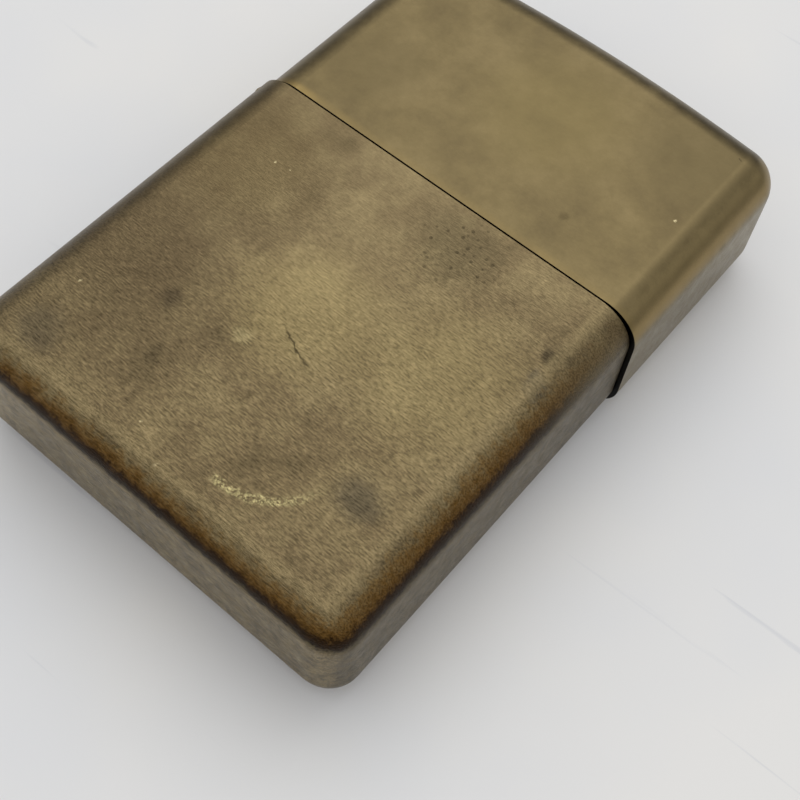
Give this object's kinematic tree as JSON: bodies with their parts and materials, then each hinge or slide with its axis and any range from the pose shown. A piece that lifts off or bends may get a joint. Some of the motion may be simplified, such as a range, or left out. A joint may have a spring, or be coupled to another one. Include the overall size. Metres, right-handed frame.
{
  "type": "flip-top pocket lighter",
  "caption": "Flip-top windproof pocket lighter: a rounded brass case and hinged lid over a steel insert with a perforated wind guard, flint wheel, cam, wick and sprung flint.",
  "frame": {"origin": "middle of the flat back face that the lighter lies on, halfway along its width without the hinge and halfway along its height", "axes": "+Y along the lighter from its base to the top of its lid, +Z out of its front face, +X away from the hinge"},
  "size_m": [0.0393, 0.0568, 0.0129],
  "materials": {
    "worn_brass": "brushed, worn and tarnished",
    "hinge_brass": "satin",
    "rivet_steel": "satin",
    "brushed_steel": "brushed along the insert's height",
    "chimney_steel": "satin, sooted round the wick",
    "wheel_steel": "hardened and cut, dull grey",
    "cam_steel": "tumbled satin",
    "spring_steel": "blued grey, smooth",
    "turned_brass": "turned, slightly dull",
    "flint_alloy": "matt",
    "wick_cotton": "braided, charred at the tip",
    "copper_wire": "drawn wire",
    "cotton_wool": "fluffy",
    "wool_felt": "pressed felt"
  },
  "bodies": {
    "case": {"case_can": "worn_brass", "hinge_leaf_can": "hinge_brass", "hinge_pin": "rivet_steel", "insert_can": "brushed_steel", "chimney": "chimney_steel", "wheel_rivet": "rivet_steel", "cam_rivet": "rivet_steel", "cam_spring": "spring_steel", "flint_tube": "turned_brass", "flint_spring": "spring_steel", "wick": "wick_cotton", "wick_wires": "copper_wire", "cotton_packing": "cotton_wool", "felt_pad": "wool_felt"},
    "lid": {"lid": "worn_brass", "hinge_leaf_lid": "hinge_brass"},
    "wheel": {"flint_wheel": "wheel_steel"},
    "cam": {"cam": "cam_steel"},
    "flint": {"flint": "flint_alloy", "flint_pusher": "turned_brass"},
    "keeper": {"spring_keeper": "turned_brass"},
    "screw": {"flint_screw": "turned_brass"}
  },
  "joints": [
    {"name": "lid_hinge", "type": "hinge", "parent": "case", "child": "lid", "pos_m": [-0.01895, 0.0056, 0.00645], "axis": [0, 0, 1], "range_deg": [0, 125]},
    {"name": "cam_pivot", "type": "hinge", "parent": "case", "child": "cam", "pos_m": [-0.0116, 0.0098, 0.00645], "axis": [0, 0, 1], "range_deg": [-50, 0]},
    {"name": "wheel_spin", "type": "hinge", "parent": "case", "child": "wheel", "pos_m": [0.0098, 0.0132, 0.00645], "axis": [0, 0, 1], "continuous": true},
    {"name": "flint_feed", "type": "slide", "parent": "case", "child": "flint", "axis": [0, 1, 0], "range_m": [-0.0015, 0], "stiffness_N_per_m": 150, "springref_m": 0.004, "deforming": ["flint_spring"]},
    {"name": "screw_travel", "type": "slide", "parent": "case", "child": "keeper", "axis": [0, 1, 0], "range_m": [-0.001, 0]},
    {"name": "screw_turn", "type": "hinge", "parent": "keeper", "child": "screw", "pos_m": [0.0098, -0.0234, 0.00645], "axis": [0, 1, 0], "range_deg": [-720, 0]}
  ],
  "couplings": [
    {"joint": "cam_pivot", "follows": "lid_hinge", "ratio": -0.4},
    {"joint": "screw_turn", "follows": "screw_travel", "rad_per_m": 12566}
  ]
}
